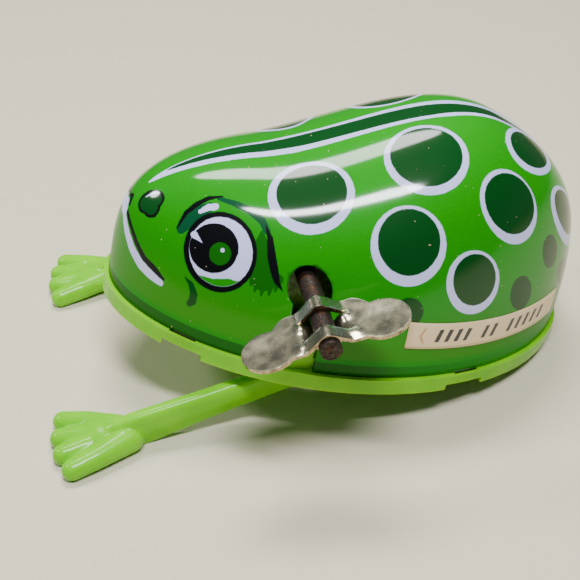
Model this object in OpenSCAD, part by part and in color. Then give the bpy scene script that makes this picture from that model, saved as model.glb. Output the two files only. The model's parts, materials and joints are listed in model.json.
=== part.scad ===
// Tin wind-up jumping frog. Nose towards -Y, winding key on the +X side, +Z up.
// The toy stands on two feet and on the tail end of its base, which holds the nose up.
// Most modules are drawn in the toy's own frame, with the base level, and stand() tips them into place.

/* [Tin shell] */
// Length of the pressed shell from nose to tail
shell_length = 74; // [60:1:90]
// Half width of the shell's outline that an ellipse would have
side_width = 20; // [17:0.5:23]
// Extra half width at the middle of the sides
side_bulge = 3.6; // [0:0.2:5]
// Height of the head above the shell's bottom edge
head_height = 24.7; // [20:0.1:28]
// Height of the back above the shell's bottom edge
back_height = 35; // [30:0.5:38]
// Share of the length where the back starts to rise
rise_start = 0.34; // [0.25:0.01:0.4]
// Share of the length where the back is at its full height
rise_end = 0.66; // [0.6:0.01:0.8]
// Bluntness of the nose, smaller is blunter
nose_power = 0.47; // [0.4:0.01:0.7]
// Bluntness of the tail, smaller is blunter
tail_power = 0.65; // [0.45:0.01:0.8]
// Thickness of the tin
tin = 0.4; // [0.3:0.05:0.6]
// Facets along the shell
shell_rows = 36; // [24:2:48]
// Facets across the shell
shell_columns = 20; // [12:2:28]

/* [Base tray] */
// How far the rim stands out past the shell
rim_step = 0.7; // [0.4:0.1:1.2]
// Height of the rim, where the shell sits on it
rim_height = 2.6; // [2:0.1:3.5]
// Height of the plate's underside above the rim's lower edge
plate_under = 1.2; // [0.8:0.1:1.4]
// Depth of the notches in the rim's lower edge
notch_depth = 1.0; // [0.6:0.1:1.1]
// How far the nose is tipped up when the toy stands on its feet
nose_up = 11; // [9:1:13]

/* [Winding key] */
// Radius of the winding arbor
arbor_r = 1.5; // [1.3:0.1:1.6]
// Place of the arbor along the toy
arbor_y = -11.2; // [-12:0.1:-10]
// Height of the arbor above the rim's lower edge
arbor_z = 15; // [14:0.1:16]
// Distance from the middle of the toy to the arbor's outer end
arbor_reach = 33.5; // [32:0.5:36]
// Radius of the keyhole in the shell
keyhole_r = 3.1; // [2.8:0.1:3.5]
// How far the keyhole sits below the arbor's middle
keyhole_drop = 0.4; // [0:0.1:0.6]
// Width of the slot below the keyhole
slot_w = 4.3; // [4:0.1:5]
// Radius of the key's round wing ends
wing_r = 3.9; // [3.4:0.1:4.2]
// Distance from the arbor to the middle of a wing
wing_arm = 7.8; // [7:0.1:9]
// Tilt of the key's wings from level
key_tilt = 24; // [0:1:90]
// Thickness of the key's sheet metal
key_t = 0.8; // [0.6:0.1:1]

/* [Motor] */
// Inside width between the motor plates
frame_gap = 17.2; // [16:0.2:18]
// Thickness of the motor plates
frame_t = 0.8; // [0.6:0.1:1]
// Radius of the two gear shafts
shaft_r = 0.8; // [0.6:0.1:0.9]
// Size of the gear teeth
gear_module = 0.5; // [0.5:0.05:0.5]
// Teeth of the great wheel
great_teeth = 36; // [36:1:36]
// Teeth of the second pinion
second_pinion_teeth = 10; // [10:1:10]
// Teeth of the second wheel
second_teeth = 30; // [30:1:30]
// Teeth of the cam pinion
cam_pinion_teeth = 12; // [12:1:12]
// Tip radius of the kick cam
cam_r = 3.6; // [3:0.1:3.8]
// Turns of the mainspring
spring_turns = 6.25; // [5.25:1:7.25]

/* [Legs] */
// Radius of the leg shaft
leg_shaft_r = 1.2; // [1:0.1:1.3]
// Distance from the middle of the toy to the middle of a leg at its shaft
leg_x = 17.6; // [17.4:0.1:18]
// Width of a leg
leg_w = 2.4; // [2:0.1:2.8]
// Half height of a leg at its ankle
leg_r = 2.1; // [1.9:0.05:2.2]
// Radius of a toe's tip
toe_r = 1.45; // [1.2:0.05:1.6]

/* [Label] */
// Height of the paper label
label_h = 4.1; // [3.5:0.1:5]
// Thickness of the paper label
label_t = 0.12; // [0.1:0.01:0.2]

/* [Hidden] */
$fn = 48;

// Colours
tin_green = [0.05, 0.55, 0.08];
lime = [0.6, 0.82, 0.05];
steel = [0.62, 0.6, 0.56];
brass = [0.78, 0.66, 0.36];
plated = [0.72, 0.69, 0.6];
cream = [0.93, 0.87, 0.76];

// Roundness of the shell's cross-section, sideways and upwards
side_round = 2.2;
top_round = 1.9;
// Play between a shaft and its bearing, and between pieces that only clear each other
running_gap = 0.05;
loose_gap = 0.3;

// Shell: s runs from 0 at the nose to 1 at the tail, t from -90 to 90 across the back
function smooth(v) = let(u = min(max(v, 0), 1)) u * u * (3 - 2 * u);
function half_width(s) = sin(180 * s) * (side_width + side_bulge * sin(180 * s));
function height(s) =
    pow(sin(180 * s), s < 0.5 ? nose_power : tail_power)
    * (head_height + (back_height - head_height) * smooth((s - rise_start) / (rise_end - rise_start)));
function along(s) = -cos(180 * s) * shell_length / 2;
function share_at(y) = acos(-2 * y / shell_length) / 180;
function shell_point(s, t, inset = 0) = [
    (half_width(s) - inset) * sign(sin(t)) * pow(abs(sin(t)), 2 / side_round),
    along(s) * (1 - 2 * inset / shell_length),
    rim_height + (height(s) - inset) * pow(abs(cos(t)), 2 / top_round)
];

// Outline of the shell's bottom edge, moved outwards by grow, as points for a polygon
outline_steps = 36;
function edge(s) = [half_width(s), along(s)];
function edge_way(s) = edge(min(s + 0.002, 1)) - edge(max(s - 0.002, 0));
function edge_out(s) = let(d = edge_way(s)) [d[1], -d[0]] / norm(d);
function side_points(grow) = [
    for (i = [1 : outline_steps - 1]) edge(i / outline_steps) + grow * edge_out(i / outline_steps)
];
function mirrored(points) = [for (i = [len(points) - 1 : -1 : 0]) [-points[i][0], points[i][1]]];
function outline(grow) = concat(
    [[0, -shell_length / 2 - grow]],
    side_points(grow),
    [[0, shell_length / 2 + grow]],
    mirrored(side_points(grow))
);

// The toy's frame against the frame it stands in
lift = (shell_length / 2 + rim_step) * sin(nose_up);
function stand_y(y, z) = y * cos(nose_up) + z * sin(nose_up);
function stand_z(y, z) = -y * sin(nose_up) + z * cos(nose_up) + lift;

// Feet, in the standing frame: the sole is on the floor
heel = [20.8, -35.6];
toe_tips = [[16.7, -45.1], [19.9, -45.5], [23.1, -45.1], [26.3, -43.9]];
heel_r = 2.1;
leg_hub_r = 2.3;
toe_root = 0.35;

// The box round the whole toy puts the origin under its middle
foot_half_width = max([for (tip = toe_tips) tip[0]]) + toe_r;
toe_front = min([for (tip = toe_tips) tip[1]]) - toe_r;
wing_x = arbor_reach - 3.4;
key_side = wing_x + wing_r;
tail_back = max([for (i = [shell_rows / 2 : shell_rows - 1])
    let(s = i / shell_rows) stand_y(along(s), rim_height + height(s))]);
centre_x = (key_side - foot_half_width) / 2;
centre_y = (tail_back + toe_front) / 2;

module place() {
    translate([-centre_x, -centre_y, 0]) children();
}

module stand() {
    place() translate([0, 0, lift]) rotate([-nose_up, 0, 0]) children();
}

// Turns a shape drawn in X and Y into the side view: X becomes Y, Y becomes Z, up becomes +X
module side_view(x, y = 0, z = 0) {
    translate([x, y, z]) rotate([90, 0, 90]) children();
}

module rod(x0, x1, y, z, r) {
    side_view(x0, y, z) cylinder(h = x1 - x0, r = r);
}

// Motor layout in the side view
plate_in = frame_gap / 2;
plate_out = plate_in + frame_t;
first_distance = gear_module * (great_teeth + second_pinion_teeth) / 2;
second_distance = gear_module * (second_teeth + cam_pinion_teeth) / 2;
first_angle = 8;
second_angle = -30;
arbor_at = [arbor_y, arbor_z];
second_at = arbor_at + first_distance * [cos(first_angle), sin(first_angle)];
cam_at = second_at + second_distance * [cos(second_angle), sin(second_angle)];
lever_t = 1.6;
leg_shaft_at = [cam_at[0] - cam_r - loose_gap - lever_t / 2, 4.2];
lever_top = 12.2;
lever_hub_r = 2.1;
lever_pocket_z = leg_shaft_at[1] - lever_hub_r - loose_gap;
pillar_r = 1.1;
pillars_at = [[-19, 7.2], [-22, 16], [12.5, 20], [14.5, 7.5]];
great_x = 6.6;
great_w = 1;
ratchet_x = 5.4;
ratchet_r = 4.6;
second_x = 3.6;
cam_x = -4.2;
cam_w = 2.4;
spring_x = -7.2;
spring_w = 6.2;

// Gears: involute flanks as points, with one tooth on the X axis
pressure = 25;
addendum = 0.8;
dedendum = 1.15;
backlash = 0.1;
function involute(a) = tan(a) * 180 / PI - a;
function tooth_half_angle(r, teeth) =
    let(pitch_r = gear_module * teeth / 2, base_r = pitch_r * cos(pressure))
    90 / teeth - backlash / pitch_r * 90 / PI + involute(pressure) - involute(acos(min(base_r / r, 1)));
function flank_radii(teeth) =
    let(pitch_r = gear_module * teeth / 2, base_r = pitch_r * cos(pressure))
    let(root = pitch_r - dedendum * gear_module, tip = pitch_r + addendum * gear_module)
    let(start = max(base_r, root))
    concat([root], [for (i = [0 : 3]) start + (tip - start) * (i + 0.02) / 3.02]);
function gear_points(teeth) = [
    for (n = [0 : teeth - 1], side = [-1, 1])
        let(radii = flank_radii(teeth), count = len(radii))
        for (i = [0 : count - 1])
            let(r = radii[side < 0 ? i : count - 1 - i])
            let(a = 360 * n / teeth + side * tooth_half_angle(r, teeth))
            r * [cos(a), sin(a)]
];

module gear(teeth, width, bore) {
    linear_extrude(height = width) difference() {
        polygon(gear_points(teeth));
        circle(r = bore);
    }
}

// ---- Body ----

// Vertices of the shell: nose tip, rows of points, tail tip, first outside and then inside
function skin(inset) = concat(
    [[0, -shell_length / 2 + inset, rim_height]],
    [
        for (i = [1 : shell_rows - 1], j = [0 : shell_columns])
            shell_point(i / shell_rows, -90 + 180 * j / shell_columns, inset)
    ],
    [[0, shell_length / 2 - inset, rim_height]]
);
row_size = shell_columns + 1;
skin_size = (shell_rows - 1) * row_size + 2;
function at(i, j) = 1 + (i - 1) * row_size + j;
// Triangles of one skin, from nose to tail
skin_faces = concat(
    [for (j = [0 : shell_columns - 1]) [0, at(1, j), at(1, j + 1)]],
    [for (i = [1 : shell_rows - 2], j = [0 : shell_columns - 1], half = [0, 1])
        half == 0 ? [at(i, j), at(i + 1, j), at(i + 1, j + 1)] : [at(i, j), at(i + 1, j + 1), at(i, j + 1)]],
    [for (j = [0 : shell_columns - 1]) [skin_size - 1, at(shell_rows - 1, j + 1), at(shell_rows - 1, j)]]
);
function reversed(face) = [for (k = [len(face) - 1 : -1 : 0]) face[k] + skin_size];
// Bottom edge, joining the outer skin to the inner one on both sides
edge_rows = concat([0], [for (i = [1 : shell_rows - 1]) at(i, 0)], [skin_size - 1]);
far_rows = concat([0], [for (i = [1 : shell_rows - 1]) at(i, shell_columns)], [skin_size - 1]);
edge_faces = concat(
    [
        for (i = [0 : shell_rows - 1])
            [edge_rows[i + 1], edge_rows[i], edge_rows[i] + skin_size, edge_rows[i + 1] + skin_size]
    ],
    [
        for (i = [0 : shell_rows - 1])
            [far_rows[i], far_rows[i + 1], far_rows[i + 1] + skin_size, far_rows[i] + skin_size]
    ]
);

// Tin tabs sit in the rim's notches: each is a place along the toy, one on each side
tab_at = [-27.1, 15.3];
tab_w = 4;
notch_w = [5.4, 6.4];
module at_edge(y, side) {
    s = share_at(y);
    way = edge_way(s);
    mirror([side < 0 ? 1 : 0, 0, 0])
        translate([half_width(s), y, 0])
            rotate([0, 0, -atan2(way[0], way[1])]) children();
}

// One tab: down through the tray and folded in under its plate
module shell_tab() {
    fold_z = 0.4;
    fold_length = 2.2;
    translate([-tin - 0.02, -tab_w / 2, fold_z]) cube([tin, tab_w, rim_height + 0.6 - fold_z]);
    translate([-tin - fold_length, -tab_w / 2, fold_z]) cube([fold_length, tab_w, tin]);
}

module tin_shell() {
    color(tin_green) stand() difference() {
        union() {
            polyhedron(points = concat(skin(0), skin(tin)),
                faces = concat(skin_faces, [for (face = skin_faces) reversed(face)], edge_faces));
            for (y = tab_at, side = [-1, 1])
                at_edge(y, side) shell_tab();
        }
        rod(12, 30, arbor_y, arbor_z - keyhole_drop, keyhole_r);
        translate([12, arbor_y - slot_w / 2, rim_height - 1]) cube([18, slot_w, arbor_z - rim_height + 1]);
    }
}

// Slots for the legs: long enough for the hub and for the leg going down and forwards
leg_slot_w = leg_w + 1.8;
leg_slot_y = [-9.5, leg_shaft_at[0] + 2.9];
boss_x = 12.4;
boss_w = 3.2;
plate_tabs = [[-17.5, -14.5], [10.5, 13.5]];

module base_tray() {
    tongue_w = slot_w - 0.36;
    ridge_h = 2;
    color(lime) stand() difference() {
        union() {
            linear_extrude(height = rim_height) polygon(outline(rim_step));
            // Ridge that the shell drops over
            translate([0, 0, rim_height]) linear_extrude(height = ridge_h) difference() {
                polygon(outline(-tin - loose_gap));
                polygon(outline(-tin - loose_gap - 1));
            }
            // Tongue that closes the lower end of the key slot
            translate([half_width(share_at(arbor_y)) - 1.75, arbor_y - tongue_w / 2, rim_height - 1])
                cube([1.45, tongue_w, 5]);
            // Bearing blocks of the leg shaft
            for (side = [-1, 1])
                translate([side * (boss_x + boss_w / 2), leg_shaft_at[0] - 2.4, rim_height - 0.5])
                    translate([-boss_w / 2, 0, 0])
                    cube([boss_w, 4.8, leg_shaft_at[1] + 2 - rim_height + 0.5]);
        }
        // Hollow under the plate, inside the rim
        translate([0, 0, -1]) linear_extrude(height = plate_under + 1) polygon(outline(-0.9));
        rod(-20, 20, leg_shaft_at[0], leg_shaft_at[1], leg_shaft_r + running_gap);
        // Pocket under the kick lever's hub
        translate([cam_x - 0.4, leg_shaft_at[0] - lever_hub_r - 0.4, lever_pocket_z])
            cube([cam_w + 0.8, 2 * lever_hub_r + 0.8, 2]);
        for (side = [-1, 1]) {
            translate([side * leg_x - leg_slot_w / 2, leg_slot_y[0], -1])
                cube([leg_slot_w, leg_slot_y[1] - leg_slot_y[0], 8]);
            for (tab = plate_tabs)
                translate([side * (plate_in + frame_t / 2) - frame_t / 2 - 0.15, tab[0] - 0.2, -1])
                    cube([frame_t + 0.3, tab[1] - tab[0] + 0.4, 8]);
            for (i = [0, 1]) {
                at_edge(tab_at[i], side)
                    translate([-tin - 0.25, -tab_w / 2 - 0.2, -1]) cube([tin + 0.5, tab_w + 0.4, 6]);
                translate([side * 20 - 12, tab_at[i] - notch_w[i] / 2, -1])
                    cube([24, notch_w[i], 1 + notch_depth]);
            }
        }
    }
}

// Paper label on the key side of the rump, its ends a little higher than its middle
label_front = 3.5;
label_back = 32;
label_low = 7.45;
label_bow = 0.0035;
label_steps = 12;
function label_z(y, v) = label_low + label_bow * pow(y - 15, 2) + label_h * v;
function label_point(y, v, off) =
    let(s = share_at(y), share = pow((label_z(y, v) - rim_height) / height(s), top_round / 2))
    let(t = acos(share), flat = shell_point(s, t))
    let(out = [flat[0] / pow(half_width(s), 2), 0, (flat[2] - rim_height) / pow(height(s), 2)])
    let(tail_lean = [0, 0.012 * max(y, 0), 0])
    flat + off * (out / norm(out) + tail_lean);
label_points = [for (off = [0.1, 0.1 + label_t], i = [0 : label_steps], v = [0, 0.5, 1])
    label_point(label_front + (label_back - label_front) * i / label_steps, v, off)];
label_layer = 3 * (label_steps + 1);
label_quads = [
    for (i = [0 : label_steps - 1], j = [0, 1])
        let(a = 3 * i + j) [a, a + 3, a + 4, a + 1]
];
function two(q) = [[q[0], q[1], q[2]], [q[0], q[2], q[3]]];
label_rim = concat(
    [0, 1, 2],
    [for (i = [1 : label_steps]) 3 * i + 2],
    [3 * label_steps + 1, 3 * label_steps],
    [for (i = [label_steps - 1 : -1 : 1]) 3 * i]
);
module paper_label() {
    count = len(label_rim);
    color(cream) stand() polyhedron(points = label_points, faces = concat(
        [for (q = label_quads, f = two(q)) f],
        [for (q = label_quads, f = two(q)) [f[2], f[1], f[0]] + label_layer * [1, 1, 1]],
        [for (k = [0 : count - 1], half = [0, 1])
            let(a = label_rim[k], b = label_rim[(k + 1) % count])
            half == 0 ? [a, b, b + label_layer] : [a, b + label_layer, a + label_layer]]
    ));
}

// ---- Motor frame ----

plate_outline = [
    [-20.2, rim_height], [-23.9, 13], [-23.8, 18], [-15, 22.6], [-8, 24.4], [3, 25.4],
    [13, 22.4], [16.4, 15], [16.4, rim_height], [9.6, rim_height], [9.6, 6.6],
    [leg_shaft_at[0] - 3.4, 6.6], [leg_shaft_at[0] - 5, rim_height]
];

// One side plate of the motor, with the tabs that hold it to the base folded outwards
module motor_plate(side) {
    fold_z = plate_under - frame_t - 0.1;
    fold_length = 2;
    x0 = side > 0 ? plate_in : -plate_out;
    difference() {
        union() {
            side_view(x0) linear_extrude(height = frame_t) polygon(plate_outline);
            for (tab = plate_tabs) {
                translate([x0, tab[0], fold_z]) cube([frame_t, tab[1] - tab[0], rim_height - fold_z + 0.5]);
                translate([side > 0 ? x0 : x0 - fold_length, tab[0], fold_z])
                    cube([frame_t + fold_length, tab[1] - tab[0], frame_t]);
            }
        }
        rod(x0 - 1, x0 + 2, arbor_at[0], arbor_at[1], arbor_r + running_gap);
        for (hole = [second_at, cam_at])
            rod(x0 - 1, x0 + 2, hole[0], hole[1], shaft_r + running_gap);
        for (hole = pillars_at)
            rod(x0 - 1, x0 + 2, hole[0], hole[1], 0.7);
    }
}

module left_motor_plate() {
    color(steel) stand() motor_plate(1);
}

module right_motor_plate() {
    color(steel) stand() motor_plate(-1);
}

// Four spacers between the plates, with riveted ends
module motor_pillars() {
    color(steel) stand() for (p = pillars_at) {
        rod(-plate_in, plate_in, p[0], p[1], pillar_r);
        rod(-plate_out - 0.5, plate_out + 0.5, p[0], p[1], 0.7);
        rod(plate_out, plate_out + 0.5, p[0], p[1], pillar_r);
        rod(-plate_out - 0.5, -plate_out, p[0], p[1], pillar_r);
    }
}

// Spiral strip from just outside the arbor to the front lower pillar
spring_start_r = arbor_r + 0.8;
spring_end_r = 9.75;
spring_t = 0.25;
spring_end_angle = 225;
spring_segments = round(spring_turns * 24);
function spring_point(i, off) =
    let(u = i / spring_segments, a = spring_end_angle - 360 * spring_turns * (1 - u))
    (spring_start_r + (spring_end_r - spring_start_r) * u + off) * [cos(a), sin(a)];
module mainspring() {
    color(steel) stand() side_view(spring_x, arbor_at[0], arbor_at[1]) linear_extrude(height = spring_w)
        polygon(concat(
            [for (i = [0 : spring_segments]) spring_point(i, -spring_t / 2)],
            [for (i = [spring_segments : -1 : 0]) spring_point(i, spring_t / 2)]
        ));
    // Eye that holds the outer end on its pillar
    color(steel) stand() difference() {
        rod(spring_x, spring_x + spring_w, pillars_at[0][0], pillars_at[0][1], pillar_r + 0.3);
        rod(spring_x - 1, spring_x + spring_w + 1, pillars_at[0][0], pillars_at[0][1], pillar_r + 0.03);
    }
}

// ---- Winding side ----

// Arbor with the small hook that holds the mainspring's inner end
module winding_arbor() {
    hook_r = 0.35;
    color(steel) stand() {
        rod(-plate_out - 0.8, arbor_reach, arbor_at[0], arbor_at[1], arbor_r);
        translate([spring_x + spring_w / 2, arbor_at[0], arbor_at[1]])
            cylinder(h = arbor_r + 0.35, r = hook_r);
    }
}

// Stamped key: a flat plate whose middle is slit and pressed over and under the arbor
module winding_key() {
    loop_r = arbor_r + key_t;
    key_x0 = arbor_reach - 9.1;
    // Each loop: where it starts, its width, and whether it goes over the arbor or under it
    loops = [[key_x0, 2.2, 1], [key_x0 + 2.4, 3.6, -1], [key_x0 + 6.2, 2.2, 1]];
    wing_root = [
        [key_x0 - 0.1, arbor_r + 0.2], [key_x0 + 8.5, arbor_r + 0.2], [key_x0 + 8.5, 4.4],
        [wing_x + 3.4, wing_arm - 1.2], [wing_x - 3.4, wing_arm - 1.2], [key_x0 - 0.1, 4.4]
    ];
    color(plated) stand() translate([0, arbor_at[0], arbor_at[1]]) rotate([key_tilt, 0, 0]) {
        for (side = [-1, 1]) {
            translate([wing_x, side * wing_arm, -key_t / 2]) cylinder(h = key_t, r = wing_r);
            translate([0, 0, -key_t / 2]) mirror([0, side < 0 ? 1 : 0, 0]) linear_extrude(height = key_t)
                polygon(wing_root);
        }
        for (loop = loops) difference() {
            rod(loop[0], loop[0] + loop[1], 0, 0, loop_r);
            rod(loop[0] - 1, loop[0] + loop[1] + 1, 0, 0, arbor_r);
            translate([loop[0] - 1, -5, loop[2] > 0 ? -5.1 : 0.1]) cube([loop[1] + 2, 10, 5]);
        }
    }
}

// Saw-toothed wheel fixed on the arbor: the great wheel's pawl drops into it
module ratchet_wheel() {
    teeth = 12;
    depth = 0.9;
    color(steel) stand()
    side_view(ratchet_x, arbor_at[0], arbor_at[1]) linear_extrude(height = great_w)
    difference() {
        polygon([for (i = [0 : teeth - 1], k = [0, 1])
            let(r = ratchet_r - k * depth, a = 360 * (i + k * 0.06) / teeth) r * [cos(a), sin(a)]]);
        circle(r = arbor_r);
    }
}

// ---- Great wheel ----

// The pawl's pivot on the great wheel, seen from the arbor
click_angle = 150;
click_pivot = 6.4 * [cos(click_angle), sin(click_angle)];

module on_arbor(x) {
    side_view(x, arbor_at[0], arbor_at[1]) children();
}

module great_wheel() {
    color(brass) stand() on_arbor(great_x) difference() {
        rotate(first_angle) gear(great_teeth, great_w, arbor_r + running_gap);
        translate([click_pivot[0], click_pivot[1], -1]) cylinder(h = great_w + 2, r = 0.5);
        for (a = [30, 270])
            translate([5.6 * cos(a), 5.6 * sin(a), -1]) cylinder(h = great_w + 2, r = 1.3);
    }
}

module click_pawl() {
    // The nose hooks behind the tooth whose steep side is level with the arbor
    nose_at = [-ratchet_r + 0.6, -0.45];
    color(steel) stand() on_arbor(ratchet_x + 0.1) linear_extrude(height = 0.9) difference() {
        union() {
            translate(click_pivot) circle(r = 1.1);
            polygon([
                click_pivot + [-0.9, 0], [-ratchet_r - 1.1, -1], nose_at,
                [-ratchet_r - 0.15, 0], click_pivot + [0.79, 0]
            ]);
        }
        translate(click_pivot) circle(r = 0.55);
    }
}

module click_rivet() {
    color(brass) stand() on_arbor(0) {
        translate([click_pivot[0], click_pivot[1], ratchet_x - 0.3])
            cylinder(h = great_x + great_w + 0.5 - ratchet_x, r = 0.5);
        translate([click_pivot[0], click_pivot[1], ratchet_x - 0.5]) cylinder(h = 0.5, r = 0.95);
    }
}

// Bent wire that presses the pawl into the ratchet
module click_spring() {
    wire_r = 0.2;
    bend_r = 7.8;
    sweep = 79;
    color(steel) stand() on_arbor(great_x - 0.25) rotate(click_angle + 4 - sweep) {
        rotate_extrude(angle = sweep) translate([bend_r, 0]) circle(r = wire_r);
        translate([bend_r - 0.1, 0, -0.3]) cylinder(h = 0.55, r = 0.4);
    }
}

// ---- Second wheel ----

module second_shaft() {
    color(steel) stand() rod(-plate_out - 0.6, plate_out + 0.6, second_at[0], second_at[1], shaft_r);
}

module second_wheel() {
    color(brass) stand() side_view(second_x, second_at[0], second_at[1]) difference() {
        rotate(second_angle) gear(second_teeth, great_w, shaft_r);
        for (a = [20, 110, 200, 290])
            translate([4.6 * cos(a), 4.6 * sin(a), -1]) cylinder(h = great_w + 2, r = 1.5);
    }
}

module second_pinion() {
    half_pitch = 180 / second_pinion_teeth;
    color(brass) stand() side_view(great_x - 0.4, second_at[0], second_at[1])
        rotate(first_angle + 180 + half_pitch) gear(second_pinion_teeth, great_w + 0.8, shaft_r);
}

// ---- Cam shaft ----

module cam_shaft() {
    color(steel) stand() rod(-plate_out - 0.6, plate_out + 0.6, cam_at[0], cam_at[1], shaft_r);
}

module cam_pinion() {
    half_pitch = 180 / cam_pinion_teeth;
    color(brass) stand() side_view(second_x - 0.4, cam_at[0], cam_at[1])
        rotate(second_angle + 180 + half_pitch) gear(cam_pinion_teeth, great_w + 0.8, shaft_r);
}

// Snail cam: turning, it pushes the kick lever further and further out and then lets it snap back
module kick_cam() {
    steps = 30;
    small_r = 1.9;
    color(steel) stand()
    side_view(cam_x, cam_at[0], cam_at[1]) rotate(215) linear_extrude(height = cam_w)
    difference() {
        polygon([
            for (i = [0 : steps])
                let(r = cam_r - (cam_r - small_r) * i / steps, a = 350 * i / steps)
                r * [cos(a), sin(a)]
        ]);
        circle(r = shaft_r);
    }
}

// ---- Legs ----

module leg_shaft() {
    end_x = leg_x + leg_w / 2 + 0.4;
    color(steel) stand() rod(-end_x, end_x, leg_shaft_at[0], leg_shaft_at[1], leg_shaft_r);
}

// Lever on the leg shaft that the cam pushes forwards
module kick_lever() {
    color(steel) stand()
    side_view(cam_x, leg_shaft_at[0], 0) linear_extrude(height = cam_w)
    difference() {
        union() {
            translate([0, leg_shaft_at[1]]) circle(r = lever_hub_r);
            translate([-lever_t / 2, leg_shaft_at[1]])
                square([lever_t, lever_top - leg_shaft_at[1] - lever_t / 2]);
            translate([0, lever_top - lever_t / 2]) circle(r = lever_t / 2);
        }
        translate([0, leg_shaft_at[1]]) circle(r = leg_shaft_r);
    }
}

// Points of the leg's middle line: how far along, how high, half height, and how far out
leg_path = [
    [leg_shaft_at[0], leg_shaft_at[1], 1.9, leg_x],
    [-4, 1, 2, leg_x],
    [-12, -2.6, 2.2, leg_x + 0.2],
    [-33, -11.4, leg_r, leg_x + 2.8]
];
leg_ends = len(leg_path) - 1;
function leg_way(i) = leg_path[min(i + 1, leg_ends)] - leg_path[max(i - 1, 0)];
function leg_out(i) = let(d = leg_way(i)) [-d[1], d[0]] / norm([d[0], d[1]]);
function leg_corner(i, side, up) = [
    leg_path[i][3] + side * leg_w / 2,
    leg_path[i][0] + up * leg_path[i][2] * leg_out(i)[0],
    leg_path[i][1] + up * leg_path[i][2] * leg_out(i)[1]
];
// Each point of the path has a ring of four corners; each side between two rings is two triangles
leg_corners = [for (i = [0 : leg_ends], c = [[-1, -1], [1, -1], [1, 1], [-1, 1]]) leg_corner(i, c[0], c[1])];
leg_sides = [
    for (i = [0 : leg_ends - 1], k = [0 : 3], half = [0, 1])
        let(a = 4 * i + k, b = 4 * i + (k + 1) % 4)
        half == 0 ? [a, b, b + 4] : [a, b + 4, a + 4]
];

module leg_bar() {
    last_ring = [for (k = [0 : 3]) 4 * leg_ends + k];
    polyhedron(points = leg_corners, faces = concat([[3, 2, 1, 0]], leg_sides, [last_ring]));
    rod(leg_x - leg_w / 2, leg_x + leg_w / 2, leg_shaft_at[0], leg_shaft_at[1], leg_hub_r);
}

module foot() {
    for (tip = toe_tips) {
        root = heel + (tip - heel) * toe_root;
        hull() {
            translate([root[0], root[1], 1.2]) sphere(r = 1.8, $fn = 24);
            translate([tip[0], tip[1], 1.0]) sphere(r = toe_r, $fn = 24);
        }
    }
    hull() {
        translate([heel[0] - 0.6, heel[1] + 0.3, 1.1]) sphere(r = heel_r - 0.2, $fn = 24);
        translate([heel[0] + 0.7, heel[1] - 4, 1.0]) sphere(r = heel_r, $fn = 24);
    }
}

module leg() {
    difference() {
        union() {
            stand_only() leg_bar();
            foot();
        }
        stand_only() rod(0, 30, leg_shaft_at[0], leg_shaft_at[1], leg_shaft_r);
        translate([0, -60, -10]) cube([40, 60, 10]);
    }
}

module stand_only() {
    translate([0, 0, lift]) rotate([-nose_up, 0, 0]) children();
}

module left_leg() {
    color(lime) place() leg();
}

module right_leg() {
    color(lime) place() mirror([1, 0, 0]) leg();
}

tin_shell();
base_tray();
paper_label();
left_motor_plate();
right_motor_plate();
motor_pillars();
mainspring();
winding_arbor();
winding_key();
ratchet_wheel();
great_wheel();
click_pawl();
click_rivet();
click_spring();
second_shaft();
second_wheel();
second_pinion();
cam_shaft();
cam_pinion();
kick_cam();
leg_shaft();
kick_lever();
left_leg();
right_leg();
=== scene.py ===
import json
import math

import bmesh
import bpy
from mathutils import Matrix, Vector


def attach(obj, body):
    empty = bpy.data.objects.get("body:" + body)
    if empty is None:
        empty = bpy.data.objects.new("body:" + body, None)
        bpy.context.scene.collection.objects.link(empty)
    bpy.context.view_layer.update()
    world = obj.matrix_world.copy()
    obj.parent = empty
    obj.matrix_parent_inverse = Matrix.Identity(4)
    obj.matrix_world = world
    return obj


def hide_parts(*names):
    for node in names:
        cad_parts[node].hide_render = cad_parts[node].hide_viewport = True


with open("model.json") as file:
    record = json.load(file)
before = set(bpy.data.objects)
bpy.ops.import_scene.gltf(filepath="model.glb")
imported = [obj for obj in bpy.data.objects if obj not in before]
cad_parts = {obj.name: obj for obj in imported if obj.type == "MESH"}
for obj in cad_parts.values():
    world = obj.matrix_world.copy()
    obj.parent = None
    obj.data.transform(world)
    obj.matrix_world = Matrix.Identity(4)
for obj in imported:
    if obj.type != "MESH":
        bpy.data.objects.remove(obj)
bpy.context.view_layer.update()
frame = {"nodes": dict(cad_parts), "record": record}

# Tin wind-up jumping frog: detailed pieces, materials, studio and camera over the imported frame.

# ---------------------------------------------------------------------------------------------
# Frames. Pieces are drawn in millimetres, in the toy's own frame (base level, nose towards -Y),
# or in the standing frame (floor at zero), and then put into the row frame in metres.
# ---------------------------------------------------------------------------------------------

MM = 0.001
NOSE_UP = math.radians(11)
ARBOR = Vector((0, -11.2, 15))
KEY_AXIS = next(Vector(joint["pos_m"]) for joint in frame["record"]["behaviour"]["joints"]
                if joint["name"] == "key_turn")
TIP = Matrix.Rotation(-NOSE_UP, 4, "X")
TO_METRES = Matrix.Scale(MM, 4)
TOY = Matrix.Translation(KEY_AXIS) @ TIP @ TO_METRES @ Matrix.Translation(-ARBOR)
STAND = Matrix.Translation((KEY_AXIS.x, KEY_AXIS.y - (TIP @ ARBOR).y * MM, 0)) @ TO_METRES
TO_STANDING = STAND.inverted() @ TOY

# ---------------------------------------------------------------------------------------------
# The shell's shape: s runs from 0 at the nose to 1 at the tail, t from 0 on the spine to 90
# degrees at the shell's bottom edge.
# ---------------------------------------------------------------------------------------------

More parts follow.
